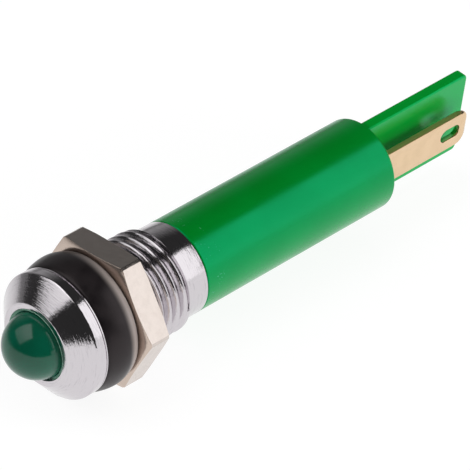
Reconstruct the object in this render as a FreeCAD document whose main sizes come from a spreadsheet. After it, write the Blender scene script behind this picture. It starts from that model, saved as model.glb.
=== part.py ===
import FreeCAD, Part
import math
import os

import Sketcher

# Panel pilot light for an eight millimetre hole.
# A chromed bezel and threaded barrel in one turned piece carries a round LED.
# A moulded body plugs into the barrel's rear end and holds the dropper circuit.
# Two flat tab terminals leave its rear wall, one each side of an insulating barrier.
# The lamp lies along Y: the LED looks towards -Y and the tabs point to +Y.
# The origin is the centre of the bezel head's back face, which seats on the panel.

SIZES = [
    ("led_dia", 4.9, "dome and stem of the LED"),
    ("led_height", 8.6, "LED from its tip to its base"),
    ("led_standout", 2.34, "LED's tip in front of the land"),
    ("flange_step", 0.45, "how far the LED's base flange stands out from its stem"),
    ("flange_thickness", 1.0, "LED's base flange"),
    ("flange_flat", 0.35, "depth of the flat that marks the cathode"),
    ("lead_width", 0.5, "square section of the LED's leads"),
    ("lead_spread", 2.54, "centre to centre of the LED's leads"),
    ("lead_joggle", 1.5, "length over which an LED lead steps in to the board"),
    ("lead_lap", 2.0, "LED lead lying on the board"),
    ("lead_play", 0.06, "holder's holes all round each lead"),
    ("led_play", 0.25, "bezel's hole all round the LED"),
    ("flange_play", 0.2, "barrel's bore all round the LED's flange"),
    ("fit_gap", 0.03, "radial clearance of pieces that slip into each other"),
    ("seat_gap", 0.05, "clearance between faces that seat on each other"),
    ("seal_recess", 0.35, "seal ring behind the land"),
    ("seal_length", 0.9, "seal ring along the stem"),
    ("land_width", 0.435, "flat land round the bezel's hole"),
    ("head_height", 2.32, "back face of the head to the land"),
    ("rim_width", 0.89, "straight rim of the head, from its back face to the cone"),
    ("rim_break", 0.06, "edge break of the head's back edge"),
    ("head_overhang", 0.83, "head's rim outside the thread crests"),
    ("thread_depth", 0.41, "thread crests above the collar"),
    ("thread_run_out", 0.3, "slope from the thread down to the collar"),
    ("barrel_wall", 0.44, "wall of the collar"),
    ("barrel_length", 10.75, "head's back face to the barrel's rear end"),
    ("collar_length", 1.85, "plain collar behind the thread"),
    ("gasket_wall", 0.8, "gasket's flat faces outside its bore"),
    ("gasket_width", 2.85, "gasket along the barrel"),
    ("gasket_bulge", 0.35, "how far its side swells past its end faces"),
    ("gasket_edge", 0.2, "worn edge between its faces and its side"),
    ("nut_fit", 0.05, "radial clearance of the nut over the thread crests"),
    ("nut_wall", 1.0, "nut's bore to its flats"),
    ("nut_thickness", 2.0, "nut along the barrel"),
    ("nut_face_inset", 0.05, "nut's flats to the circle where its chamfer starts"),
    ("nut_chamfer_angle", 30.0, "front chamfer of the nut, in degrees"),
    ("nut_turn", 8.3, "how far the nut stopped turned, in degrees"),
    ("body_inset", 0.01, "moulded body inside the collar's outside"),
    ("body_front_edge", 0.12, "edge break at the body's front"),
    ("body_rear_edge", 0.2, "edge break at the body's rear"),
    ("spigot_length", 3.0, "part of the body inside the barrel"),
    ("spigot_wall", 0.42, "wall of that part"),
    ("rear_wall", 1.2, "rear wall of the body"),
    ("barrier_length", 10.3, "barrier from the body's rear face to its end"),
    ("barrier_thickness", 0.9, "barrier between the tabs"),
    ("barrier_corner", 0.45, "radius of the barrier's two end corners"),
    ("tab_spread", 3.0, "centre to centre of the two tabs"),
    ("tab_thickness", 0.5, "tab terminal"),
    ("tab_width", 2.8, "tab terminal"),
    ("tab_reach", 9.5, "tab from the body's rear face to its tip"),
    ("tab_corner", 0.6, "chamfer of the tab's tip corners"),
    ("tab_lead_in", 0.45, "length of the bevels on the tip's faces"),
    ("tab_tip", 0.3, "thickness of the tab at its tip"),
    ("tab_shoulder", 0.3, "how much wider the tab is on each side inside the body"),
    ("tab_joggle", 1.2, "length over which the tab steps in to the board"),
    ("tab_lap", 2.45, "tab lying on the board"),
    ("eye_length", 2.0, "wire eye through the tab"),
    ("eye_width", 1.1, "wire eye through the tab"),
    ("eye_inset", 1.8, "centre of the wire eye from the tab's tip"),
    ("board_thickness", 0.8, "circuit board"),
    ("board_entry", 0.4, "how far the board reaches into the spigot"),
    ("board_end_gap", 1.9, "board's rear end to the rear wall"),
    ("part_gap", 1.1, "free board between the parts and joints on it"),
    ("resistor_length", 3.2, "chip resistor with its end caps"),
    ("resistor_width", 1.6, "chip resistor"),
    ("resistor_height", 0.55, "chip resistor without its end caps"),
    ("cap_length", 0.5, "end cap of a resistor"),
    ("cap_skin", 0.05, "metal of an end cap"),
    ("diode_span", 3.7, "diode over its leads"),
    ("diode_length", 2.7, "moulded body of a diode"),
    ("diode_width", 1.6, "moulded body of a diode"),
    ("diode_height", 1.15, "moulded body of a diode"),
    ("diode_draft", 0.12, "how far a diode's sides lean in"),
    ("diode_lift", 0.06, "moulded body of a diode above the board"),
    ("diode_lead_width", 0.6, "lead of a diode"),
    ("diode_lead_thickness", 0.12, "lead of a diode"),
    ("diode_lead_slope", 0.2, "length over which a diode's lead comes down"),
    ("solder_reach", 0.8, "foot radius of a solder joint"),
    ("solder_top", 0.5, "top radius of a solder joint"),
    ("solder_rise", 0.7, "height of a solder joint"),
    ("potting_gap", 1.0, "tab's inner end to the resin plug"),
]

doc = FreeCAD.newDocument("panel_pilot_light")
sheet = doc.addObject("Spreadsheet::Sheet", "Sizes")
for row, (alias, number, meaning) in enumerate(SIZES, start=1):
    sheet.set(f"A{row}", alias)
    sheet.set(f"B{row}", str(number))
    sheet.setAlias(f"B{row}", alias)
    sheet.set(f"C{row}", meaning)
doc.recompute()

# Radii, each worked out from the one inside it
LED_RADIUS = "(Sizes.led_dia / 2)"
FLANGE_RADIUS = f"({LED_RADIUS} + Sizes.flange_step)"
HOLE_RADIUS = f"({LED_RADIUS} + Sizes.led_play)"
LAND_RADIUS = f"({HOLE_RADIUS} + Sizes.land_width)"
BORE_RADIUS = f"({FLANGE_RADIUS} + Sizes.flange_play)"
COLLAR_RADIUS = f"({BORE_RADIUS} + Sizes.barrel_wall)"
BARREL_RADIUS = f"({COLLAR_RADIUS} + Sizes.thread_depth)"
RIM_RADIUS = f"({BARREL_RADIUS} + Sizes.head_overhang)"
PLUG_RADIUS = f"({BORE_RADIUS} - Sizes.fit_gap)"
CAVITY_RADIUS = f"({PLUG_RADIUS} - Sizes.spigot_wall)"
BODY_RADIUS = f"({COLLAR_RADIUS} - Sizes.body_inset)"
BOARD_FACE = "(Sizes.board_thickness / 2)"
BOARD_HALF_WIDTH = f"(sqrt({CAVITY_RADIUS}^2 - {BOARD_FACE}^2) - Sizes.fit_gap)"
HALF_ARC = "sqrt(0.5)"

# Places along the lamp's axis.
# The body is as long as the circuit in it: each place is worked out from the last.
LAND = "(-Sizes.head_height)"
LED_TIP = f"({LAND} - Sizes.led_standout)"
DOME_CENTRE = f"({LED_TIP} + {LED_RADIUS})"
LED_BASE = f"({LED_TIP} + Sizes.led_height)"
LED_SHOULDER = f"({LED_BASE} - Sizes.flange_thickness)"
BORE_SHOULDER = f"({LED_SHOULDER} - Sizes.seat_gap)"
THREAD_END = "(Sizes.barrel_length - Sizes.collar_length)"
GASKET_FRONT = "(Sizes.seat_gap)"
GASKET_REAR = f"({GASKET_FRONT} + Sizes.gasket_width)"
NUT_FRONT = f"({GASKET_REAR} + Sizes.seat_gap)"
SPIGOT_FRONT = "(Sizes.barrel_length - Sizes.spigot_length)"
HOLDER_FRONT = f"({LED_BASE} + Sizes.seat_gap)"
HOLDER_REAR = f"({SPIGOT_FRONT} - Sizes.seat_gap)"
BODY_FRONT = "(Sizes.barrel_length + Sizes.seat_gap)"
BOARD_FRONT = "(Sizes.barrel_length - Sizes.board_entry)"
LEAD_STEP = f"(({SPIGOT_FRONT} + {BOARD_FRONT}) / 2)"
LEAD_END = f"({BOARD_FRONT} + Sizes.lead_lap)"
RESISTOR_START = f"({LEAD_END} + Sizes.solder_reach + Sizes.part_gap)"
DIODE_MIDDLE = f"({RESISTOR_START} + Sizes.resistor_length + Sizes.part_gap + Sizes.diode_span / 2)"
TAB_INNER_END = f"({DIODE_MIDDLE} + Sizes.diode_span / 2 + Sizes.part_gap + Sizes.solder_reach)"
BOARD_REAR = f"({TAB_INNER_END} + Sizes.tab_lap)"
POTTING_FRONT = f"({TAB_INNER_END} + Sizes.potting_gap)"
WALL_INNER = f"({BOARD_REAR} + Sizes.board_end_gap)"
TAB_STEP = f"(({WALL_INNER} + {BOARD_REAR}) / 2)"
BODY_REAR = f"({WALL_INNER} + Sizes.rear_wall)"
BARRIER_END = f"({BODY_REAR} + Sizes.barrier_length)"
TAB_TIP = f"({BODY_REAR} + Sizes.tab_reach)"


def value(expression):
    """Number that an expression on the sheet gives."""
    result = sheet.evalExpression(expression)
    return float(getattr(result, "Value", result))


def new_body(label):
    """Empty body whose label names the piece and its file."""
    body = doc.addObject("PartDesign::Body", label)
    body.Label = label
    return body


def new_sketch(body, name, role, offset=None):
    """Sketch on one of the body's own origin planes, shifted along the plane's normal."""
    sketch = body.newObject("Sketcher::SketchObject", name)
    plane = [feature for feature in body.Origin.OriginFeatures if feature.Role == role][0]
    sketch.AttachmentSupport = (plane, [""])
    sketch.MapMode = "FlatFace"
    if offset is not None:
        sketch.setExpression("AttachmentOffset.Base.z", offset)
    return sketch


def arc_between(start, middle, end):
    """Arc through three points as a sketch keeps it, and whether its ends are swapped."""
    circle = Part.Arc(start, middle, end).toShape().Curve
    centre = circle.Center

    def angle(point):
        return math.atan2(point.y - centre.y, point.x - centre.x) % (2 * math.pi)

    full = 2 * math.pi
    first, second, last = angle(start), angle(middle), angle(end)
    swapped = (second - first) % full > (last - first) % full
    if swapped:
        first, last = last, first
    if last < first:
        last += full
    plain = Part.Circle(centre, FreeCAD.Vector(0, 0, 1), circle.Radius)
    return Part.ArcOfCircle(plain, first, last), swapped


def draw_outline(sketch, corners, arcs=None):
    """Closed outline through corners given as pairs of expressions.

    arcs maps the number of a corner to the arc that leads from it to the next corner:
    what is measured ("Radius", or "DistanceX" of its centre), how much that is, and a
    middle point. Every other side is straight.
    """
    arcs = arcs or {}
    base = sketch.GeometryCount
    count = len(corners)
    spots = [FreeCAD.Vector(value(across), value(along), 0) for across, along in corners]
    ends = []
    for number, spot in enumerate(spots):
        following = spots[(number + 1) % count]
        if number in arcs:
            middle = FreeCAD.Vector(*[value(part) for part in arcs[number][2]], 0)
            side, swapped = arc_between(spot, middle, following)
            ends.append((2, 1) if swapped else (1, 2))
        else:
            side = Part.LineSegment(spot, following)
            ends.append((1, 2))
        sketch.addGeometry(side, False)
    for number in range(count):
        other = (number + 1) % count
        join = Sketcher.Constraint(
            "Coincident", base + number, ends[number][1], base + other, ends[other][0])
        sketch.addConstraint(join)
    for number, (across, along) in enumerate(corners):
        point = (base + number, ends[number][0])
        for kind, expression in (("DistanceX", across), ("DistanceY", along)):
            limit = Sketcher.Constraint(kind, -1, 1, *point, value(expression))
            place = sketch.addConstraint(limit)
            sketch.setExpression(f"Constraints[{place}]", expression)
    for number, (measure, expression, middle) in arcs.items():
        measured = (base + number,) if measure == "Radius" else (-1, 1, base + number, 3)
        limit = Sketcher.Constraint(measure, *measured, value(expression))
        place = sketch.addConstraint(limit)
        sketch.setExpression(f"Constraints[{place}]", expression)


def draw_circle(sketch, across, along, radius):
    """Circle whose centre and radius are expressions."""
    centre = FreeCAD.Vector(value(across), value(along), 0)
    circle = Part.Circle(centre, FreeCAD.Vector(0, 0, 1), value(radius))
    number = sketch.addGeometry(circle, False)
    for kind, expression in (("DistanceX", across), ("DistanceY", along)):
        place = sketch.addConstraint(Sketcher.Constraint(kind, -1, 1, number, 3, value(expression)))
        sketch.setExpression(f"Constraints[{place}]", expression)
    place = sketch.addConstraint(Sketcher.Constraint("Radius", number, value(radius)))
    sketch.setExpression(f"Constraints[{place}]", radius)


def rectangle(across, along, half_across, half_along):
    """Corners of a rectangle about a centre, as expressions."""
    low_across, high_across = f"{across} - {half_across}", f"{across} + {half_across}"
    low_along, high_along = f"{along} - {half_along}", f"{along} + {half_along}"
    return [
        (low_across, low_along),
        (high_across, low_along),
        (high_across, high_along),
        (low_across, high_along),
    ]


def turn_profile(body, corners, arcs=None, kind="PartDesign::Revolution"):
    """Solid or cut of revolution about the lamp's axis, from corners as (radius, place)."""
    sketch = new_sketch(body, f"{body.Label}_profile", "XY_Plane")
    draw_outline(sketch, corners, arcs)
    feature = body.newObject(kind, f"{body.Label}_turned")
    feature.Profile = sketch
    feature.ReferenceAxis = (sketch, ["V_Axis"])
    feature.Angle = 360.0
    doc.recompute()
    return feature


def extrude(body, sketch, length, kind="PartDesign::Pad", both_ways=False, reverse=False):
    """Pad or pocket of a sketch by a length given as an expression."""
    feature = body.newObject(kind, f"{sketch.Name}_{kind.split('::')[1].lower()}")
    feature.Profile = sketch
    feature.setExpression("Length", length)
    feature.Midplane = both_ways
    feature.Reversed = reverse
    before = 0.0 if body.Shape.isNull() else body.Shape.Volume
    doc.recompute()
    grew = feature.Shape.Volume > before
    if grew != (kind == "PartDesign::Pad"):
        raise RuntimeError(f"{feature.Name} points away from the piece")
    return feature


def dress_edges(body, kind, size, test):
    """Fillet or chamfer of the edges of the body's tip that pass a test."""
    base = body.Tip
    names = [
        f"Edge{number}"
        for number, edge in enumerate(base.Shape.Edges, start=1)
        if test(edge)
    ]
    if not names:
        raise RuntimeError(f"no edge of {body.Label} fits its {kind}")
    feature = body.newObject(kind, f"{base.Name}_edges")
    feature.Base = (base, names)
    feature.setExpression("Radius" if kind.endswith("Fillet") else "Size", size)
    doc.recompute()
    if feature.Shape.isNull() or not feature.Shape.isValid():
        raise RuntimeError(f"{feature.Name} can't round or bevel its edges")
    return feature


def ends_of(edge):
    """Start and end of an edge."""
    return edge.Vertexes[0].Point, edge.Vertexes[-1].Point


# Bezel head and threaded barrel, turned from one bar and chromed.
# Its thread is left to the finish: the barrel is plain at the crests' diameter.
bezel = new_body("bezel_bush")
turn_profile(bezel, [
    (HOLE_RADIUS, LAND),
    (LAND_RADIUS, LAND),
    (RIM_RADIUS, "-Sizes.rim_width"),
    (RIM_RADIUS, "-Sizes.rim_break"),
    (f"{RIM_RADIUS} - Sizes.rim_break", "0"),
    (BARREL_RADIUS, "0"),
    (BARREL_RADIUS, f"{THREAD_END} - Sizes.thread_run_out"),
    (COLLAR_RADIUS, THREAD_END),
    (COLLAR_RADIUS, "Sizes.barrel_length"),
    (BORE_RADIUS, "Sizes.barrel_length"),
    (BORE_RADIUS, BORE_SHOULDER),
    (HOLE_RADIUS, BORE_SHOULDER),
])

# Round LED: a moulded dome and stem with a base flange, flat on its cathode side.
led = new_body("led_lamp")
turn_profile(
    led,
    [
        ("0", LED_TIP),
        (LED_RADIUS, DOME_CENTRE),
        (LED_RADIUS, LED_SHOULDER),
        (FLANGE_RADIUS, LED_SHOULDER),
        (FLANGE_RADIUS, LED_BASE),
        ("0", LED_BASE),
    ],
    {0: ("Radius", LED_RADIUS, (
        f"{LED_RADIUS} * {HALF_ARC}", f"{DOME_CENTRE} - {LED_RADIUS} * {HALF_ARC}"))},
)
flat = new_sketch(led, "cathode_flat", "XZ_Plane", f"-{LED_SHOULDER}")
draw_outline(flat, rectangle(f"-{FLANGE_RADIUS}", "0", "Sizes.flange_flat", FLANGE_RADIUS))
extrude(led, flat, "Sizes.flange_thickness", "PartDesign::Pocket")

# Ring of clear sealing compound between the LED's stem and the bezel's hole
seal = new_body("led_seal_ring")
SEAL_FRONT = f"{LAND} + Sizes.seal_recess"
SEAL_REAR = f"{SEAL_FRONT} + Sizes.seal_length"
turn_profile(seal, [
    (f"{LED_RADIUS} + Sizes.fit_gap", SEAL_FRONT),
    (f"{HOLE_RADIUS} - Sizes.fit_gap", SEAL_FRONT),
    (f"{HOLE_RADIUS} - Sizes.fit_gap", SEAL_REAR),
    (f"{LED_RADIUS} + Sizes.fit_gap", SEAL_REAR),
])

# Plastic spacer that presses the LED forward, with a square hole for each lead
holder = new_body("led_holder")
holder_face = new_sketch(holder, "holder_face", "XZ_Plane", f"-{HOLDER_FRONT}")
draw_circle(holder_face, "0", "0", PLUG_RADIUS)
HOLE_HALF = "(Sizes.lead_width / 2 + Sizes.lead_play)"
for side in ("", "-"):
    draw_outline(holder_face, rectangle(f"{side}Sizes.lead_spread / 2", "0", HOLE_HALF, HOLE_HALF))
extrude(holder, holder_face, f"{HOLDER_REAR} - {HOLDER_FRONT}", reverse=True)


def joggled_strip(label, side, width, thickness, heights, places, tip=None):
    """Flat metal strip along the lamp that steps in from an outer height to an inner one.

    heights are the outer and inner heights of its middle, and places its start, the two
    ends of its step and its end. tip is the half thickness and length of a thinned start.
    """
    body = new_body(label)
    sketch = new_sketch(body, f"{label}_side_view", "XY_Plane")
    outer, inner = heights
    start, step_start, step_end, end = places
    half = f"({thickness}) / 2"
    upper, lower = (
        [
            (f"{outer} {sign} {half}", step_start),
            (f"{inner} {sign} {half}", step_end),
            (f"{inner} {sign} {half}", end),
        ]
        for sign in ("+", "-")
    )
    if tip is None:
        upper.insert(0, (f"{outer} + {half}", start))
        lower.insert(0, (f"{outer} - {half}", start))
    else:
        tip_half, tip_length = tip
        upper[0:0] = [(f"{outer} + {tip_half}", start), (f"{outer} + {half}", f"{start} - {tip_length}")]
        lower[0:0] = [(f"{outer} - {tip_half}", start), (f"{outer} - {half}", f"{start} - {tip_length}")]
    corners = [(f"{side}({across})", along) for across, along in upper + lower[::-1]]
    draw_outline(sketch, corners)
    extrude(body, sketch, width, both_ways=True)
    return body


# The LED's two square leads pass the holder and step in to the faces of the board
LEAD_HEIGHT = f"({BOARD_FACE} + Sizes.lead_width / 2)"
lead_bodies = []
for label, side in (("led_anode_lead", ""), ("led_cathode_lead", "-")):
    lead_bodies.append(joggled_strip(
        label, side, "Sizes.lead_width", "Sizes.lead_width",
        ("Sizes.lead_spread / 2", LEAD_HEIGHT),
        (LED_BASE, f"{LEAD_STEP} - Sizes.lead_joggle / 2",
         f"{LEAD_STEP} + Sizes.lead_joggle / 2", LEAD_END)))

# Rubber gasket, a ring with a swelling side that seals the panel behind the bezel head
GASKET_BORE = f"({BARREL_RADIUS} + Sizes.fit_gap)"
GASKET_SIDE = f"({GASKET_BORE} + Sizes.gasket_wall)"
GASKET_CHORD = "(Sizes.gasket_width / 2 - Sizes.gasket_edge)"
GASKET_ROUND = f"(({GASKET_CHORD}^2 + Sizes.gasket_bulge^2) / (2 * Sizes.gasket_bulge))"
gasket = new_body("sealing_gasket")
turn_profile(
    gasket,
    [
        (GASKET_BORE, GASKET_FRONT),
        (f"{GASKET_SIDE} - Sizes.gasket_edge", GASKET_FRONT),
        (GASKET_SIDE, f"{GASKET_FRONT} + Sizes.gasket_edge"),
        (GASKET_SIDE, f"{GASKET_REAR} - Sizes.gasket_edge"),
        (f"{GASKET_SIDE} - Sizes.gasket_edge", GASKET_REAR),
        (GASKET_BORE, GASKET_REAR),
    ],
    {2: ("Radius", GASKET_ROUND, (
        f"{GASKET_SIDE} + Sizes.gasket_bulge", f"({GASKET_FRONT} + {GASKET_REAR}) / 2"))},
)

# Thin hexagon nut of plated brass, chamfered on its front side only.
# Its bore clears the thread's crests, because the thread is left to the finish.
nut = new_body("hex_nut")
NUT_BORE = f"({BARREL_RADIUS} + Sizes.nut_fit)"
NUT_CORNER = f"(({NUT_BORE} + Sizes.nut_wall) * 2 / sqrt(3))"
NUT_FACE = f"({NUT_BORE} + Sizes.nut_wall - Sizes.nut_face_inset)"
nut_face = new_sketch(nut, "nut_face", "XZ_Plane", f"-{NUT_FRONT}")
hexagon = []
for corner in range(6):
    turn = f"(Sizes.nut_turn + {60 * corner}) * 1 deg"
    hexagon.append((f"{NUT_CORNER} * cos({turn})", f"{NUT_CORNER} * sin({turn})"))
draw_outline(nut_face, hexagon)
draw_circle(nut_face, "0", "0", NUT_BORE)
extrude(nut, nut_face, "Sizes.nut_thickness", reverse=True)
NUT_CHAMFER = f"(({NUT_CORNER} - {NUT_FACE}) * tan(Sizes.nut_chamfer_angle * 1 deg))"
chamfer_profile = new_sketch(nut, "nut_chamfer_profile", "XY_Plane")
draw_outline(chamfer_profile, [
    (NUT_FACE, NUT_FRONT),
    (f"2 * {NUT_CORNER} - {NUT_FACE}", f"{NUT_FRONT} + 2 * {NUT_CHAMFER}"),
    (f"2 * {NUT_CORNER} - {NUT_FACE}", NUT_FRONT),
])
whole_nut = nut.Shape.Volume
chamfer = nut.newObject("PartDesign::Groove", "nut_chamfer")
chamfer.Profile = chamfer_profile
chamfer.ReferenceAxis = (chamfer_profile, ["V_Axis"])
chamfer.Angle = 360.0
doc.recompute()
if not chamfer.Shape.Volume < whole_nut:
    raise RuntimeError("the nut's chamfer cuts nothing")

# Moulded body: a cup with a spigot that plugs into the barrel and a slotted rear wall.
# The insulating barrier stands on the rear wall and is as wide as the body.
shell = new_body("body_shell")
BARRIER_HALF = "(Sizes.barrier_thickness / 2)"
BARRIER_EDGE = f"sqrt({BODY_RADIUS}^2 - {BARRIER_HALF}^2)"
barrier = new_sketch(shell, "barrier_section", "XZ_Plane", f"-({BODY_REAR} - Sizes.rear_wall / 2)")
draw_outline(
    barrier,
    [
        (BARRIER_HALF, f"-{BARRIER_EDGE}"),
        (BARRIER_HALF, BARRIER_EDGE),
        (f"-{BARRIER_HALF}", BARRIER_EDGE),
        (f"-{BARRIER_HALF}", f"-{BARRIER_EDGE}"),
    ],
    {
        1: ("Radius", BODY_RADIUS, ("0", BODY_RADIUS)),
        3: ("Radius", BODY_RADIUS, ("0", f"-{BODY_RADIUS}")),
    },
)
extrude(shell, barrier, "Sizes.rear_wall / 2 + Sizes.barrier_length", reverse=True)
barrier_end = value(BARRIER_END)


def barrier_corner(edge):
    """The two edges across the barrier's end, which follow the body's round."""
    curved = hasattr(edge.Curve, "Radius")
    return curved and all(abs(point.y - barrier_end) < 1e-4 for point in ends_of(edge))


dress_edges(shell, "PartDesign::Fillet", "Sizes.barrier_corner", barrier_corner)
turn_profile(shell, [
    (CAVITY_RADIUS, SPIGOT_FRONT),
    (PLUG_RADIUS, SPIGOT_FRONT),
    (PLUG_RADIUS, BODY_FRONT),
    (f"{BODY_RADIUS} - Sizes.body_front_edge", BODY_FRONT),
    (BODY_RADIUS, f"{BODY_FRONT} + Sizes.body_front_edge"),
    (BODY_RADIUS, f"{BODY_REAR} - Sizes.body_rear_edge"),
    (f"{BODY_RADIUS} - Sizes.body_rear_edge", BODY_REAR),
    ("0", BODY_REAR),
    ("0", WALL_INNER),
    (CAVITY_RADIUS, WALL_INNER),
])
SLOT_HALF_THICKNESS = "(Sizes.tab_thickness / 2 + Sizes.fit_gap)"
SLOT_HALF_WIDTH = "(Sizes.tab_width / 2 + Sizes.fit_gap)"
slots = new_sketch(shell, "tab_slots", "XZ_Plane", f"-{WALL_INNER}")
for side in ("", "-"):
    draw_outline(slots, rectangle(
        f"{side}Sizes.tab_spread / 2", "0", SLOT_HALF_THICKNESS, SLOT_HALF_WIDTH))
extrude(shell, slots, "Sizes.rear_wall * 2", "PartDesign::Pocket")

# Two stamped tab terminals with wire eyes.
# Wider inside the body, each bears on the rear wall and steps in to the board.
TAB_HEIGHT = f"({BOARD_FACE} + Sizes.tab_thickness / 2)"
TAB_INNER_WIDTH = "(Sizes.tab_width + 2 * Sizes.tab_shoulder)"
BLADE_START = f"({WALL_INNER} - Sizes.seat_gap)"
EYE_STRAIGHT = "((Sizes.eye_length - Sizes.eye_width) / 2)"
EYE_CENTRE = f"({TAB_TIP} - Sizes.eye_inset)"
tab_tip = value(TAB_TIP)


def tip_corner(edge):
    """The two edges across the thickness of a tab's tip."""
    start, end = ends_of(edge)
    return abs(start.z - end.z) < 1e-4 and abs(start.y - tab_tip) + abs(end.y - tab_tip) < 1e-4


tab_bodies = []
for label, side in (("terminal_right", ""), ("terminal_left", "-")):
    tab = joggled_strip(
        label, side, TAB_INNER_WIDTH, "Sizes.tab_thickness",
        ("Sizes.tab_spread / 2", TAB_HEIGHT),
        (TAB_TIP, f"{TAB_STEP} + Sizes.tab_joggle / 2",
         f"{TAB_STEP} - Sizes.tab_joggle / 2", TAB_INNER_END),
        ("Sizes.tab_tip / 2", "Sizes.tab_lead_in"))
    tab_bodies.append(tab)
    trim = new_sketch(tab, f"{label}_trim", "YZ_Plane")
    for sign in ("", "-"):
        draw_outline(trim, rectangle(
            TAB_TIP, f"{sign}(Sizes.tab_width / 2 + Sizes.tab_shoulder)",
            f"({TAB_TIP} - {BLADE_START})", "Sizes.tab_shoulder"))
    extrude(tab, trim, "Sizes.tab_spread * 2", "PartDesign::Pocket", both_ways=True)
    dress_edges(tab, "PartDesign::Chamfer", "Sizes.tab_corner", tip_corner)
    eye = new_sketch(tab, f"{label}_eye", "YZ_Plane")
    draw_outline(
        eye,
        rectangle(EYE_CENTRE, "0", EYE_STRAIGHT, "Sizes.eye_width / 2"),
        {
            1: ("DistanceX", f"{EYE_CENTRE} + {EYE_STRAIGHT}", (
                f"{EYE_CENTRE} + Sizes.eye_length / 2", "0")),
            3: ("DistanceX", f"{EYE_CENTRE} - {EYE_STRAIGHT}", (
                f"{EYE_CENTRE} - Sizes.eye_length / 2", "0")),
        },
    )
    extrude(tab, eye, "Sizes.tab_spread * 2", "PartDesign::Pocket", both_ways=True)


def place(thing, across, along, up):
    """Bind an object's place to expressions."""
    thing.setExpression("Placement.Base.x", across)
    thing.setExpression("Placement.Base.y", along)
    thing.setExpression("Placement.Base.z", up)


# Circuit board, edge on to the tabs, in the body's hollow
board = doc.addObject("Part::Box", "circuit_board")
board.setExpression("Length", "Sizes.board_thickness")
board.setExpression("Width", f"{BOARD_REAR} - {BOARD_FRONT}")
board.setExpression("Height", f"2 * {BOARD_HALF_WIDTH}")
place(board, f"-{BOARD_FACE}", BOARD_FRONT, f"-{BOARD_HALF_WIDTH}")
doc.recompute()


def on_face(face, gap, thickness):
    """Lowest X of a block that lies a gap off a face of the board."""
    if face > 0:
        return f"{BOARD_FACE} + {gap}"
    return f"-({BOARD_FACE} + {gap} + {thickness})"


def chip_resistor(label, face):
    """Ceramic bar on a face of the board, and the two metal caps round its ends."""
    bar = doc.addObject("Part::Box", label)
    bar.setExpression("Length", "Sizes.resistor_height")
    bar.setExpression("Width", "Sizes.resistor_length - 2 * Sizes.cap_skin")
    bar.setExpression("Height", "Sizes.resistor_width")
    place(bar, on_face(face, "Sizes.cap_skin", "Sizes.resistor_height"),
          f"{RESISTOR_START} + Sizes.cap_skin", "-Sizes.resistor_width / 2")
    ends = []
    for start in (RESISTOR_START, f"{RESISTOR_START} + Sizes.resistor_length - Sizes.cap_length"):
        end = doc.addObject("Part::Box", f"{label}_end")
        end.setExpression("Length", "Sizes.resistor_height + 2 * Sizes.cap_skin")
        end.setExpression("Width", "Sizes.cap_length")
        end.setExpression("Height", "Sizes.resistor_width + 2 * Sizes.cap_skin")
        place(end, on_face(face, "0", "(Sizes.resistor_height + 2 * Sizes.cap_skin)"),
              start, "-Sizes.resistor_width / 2 - Sizes.cap_skin")
        ends.append(end)
    blocks = doc.addObject("Part::Compound", f"{label}_blocks")
    blocks.Links = ends
    caps = doc.addObject("Part::Cut", f"{label}_caps")
    caps.Base = blocks
    caps.Tool = bar
    doc.recompute()
    return [bar, caps]


def flat_diode(label, face):
    """Moulded block with drafted sides on a face of the board, and its two bent leads."""
    block = doc.addObject("Part::Wedge", label)
    half_length, half_width = "Sizes.diode_length / 2", "Sizes.diode_width / 2"
    limits = {
        "Xmin": f"-{half_length}", "Xmax": half_length,
        "Ymin": "0", "Ymax": "Sizes.diode_height",
        "Zmin": f"-{half_width}", "Zmax": half_width,
        "X2min": f"-{half_length} + Sizes.diode_draft", "X2max": f"{half_length} - Sizes.diode_draft",
        "Z2min": f"-{half_width} + Sizes.diode_draft", "Z2max": f"{half_width} - Sizes.diode_draft",
    }
    for name, expression in limits.items():
        block.setExpression(name, expression)
    block.Placement.Rotation = FreeCAD.Rotation(FreeCAD.Vector(0, 0, 1), -90 * face)
    place(block, f"{face} * ({BOARD_FACE} + Sizes.diode_lift)", DIODE_MIDDLE, "0")
    side = "" if face > 0 else "-"
    heights = (
        f"({BOARD_FACE} + Sizes.diode_lift + Sizes.diode_height / 3)",
        f"({BOARD_FACE} + Sizes.diode_lead_thickness / 2)",
    )
    leads = []
    for end in (1, -1):
        places = [
            f"({DIODE_MIDDLE} + {end} * ({reach}))"
            for reach in (
                f"{half_length} - Sizes.diode_draft",
                f"{half_length} + Sizes.diode_lead_thickness",
                f"{half_length} + Sizes.diode_lead_thickness + Sizes.diode_lead_slope",
                "Sizes.diode_span / 2",
            )
        ]
        leads.append(joggled_strip(
            f"{label}_lead", side, "Sizes.diode_lead_width", "Sizes.diode_lead_thickness",
            heights, places))
    pair = doc.addObject("Part::Compound", f"{label}_lead_pair")
    pair.Links = leads
    trimmed = doc.addObject("Part::Cut", f"{label}_leads")
    trimmed.Base = pair
    trimmed.Tool = block
    doc.recompute()
    return [block, trimmed]


# Two dropper resistors and two diodes, one of each on each face of the board
part_nodes = []
part_nodes += chip_resistor("series_resistor_a", 1)
part_nodes += chip_resistor("series_resistor_b", -1)
part_nodes += flat_diode("rectifier_diode", 1)
part_nodes += flat_diode("reverse_diode", -1)


def solder_joint(label, face, along, strip):
    """Cone of solder on a face of the board round the end of a lead or tab."""
    cone = doc.addObject("Part::Cone", f"{label}_cone")
    cone.setExpression("Radius1", "Sizes.solder_reach")
    cone.setExpression("Radius2", "Sizes.solder_top")
    cone.setExpression("Height", "Sizes.solder_rise")
    cone.Placement.Rotation = FreeCAD.Rotation(FreeCAD.Vector(0, 1, 0), 90 * face)
    place(cone, f"{face} * {BOARD_FACE}", along, "0")
    joint = doc.addObject("Part::Cut", label)
    joint.Base = cone
    joint.Tool = strip
    doc.recompute()
    return joint


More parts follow.
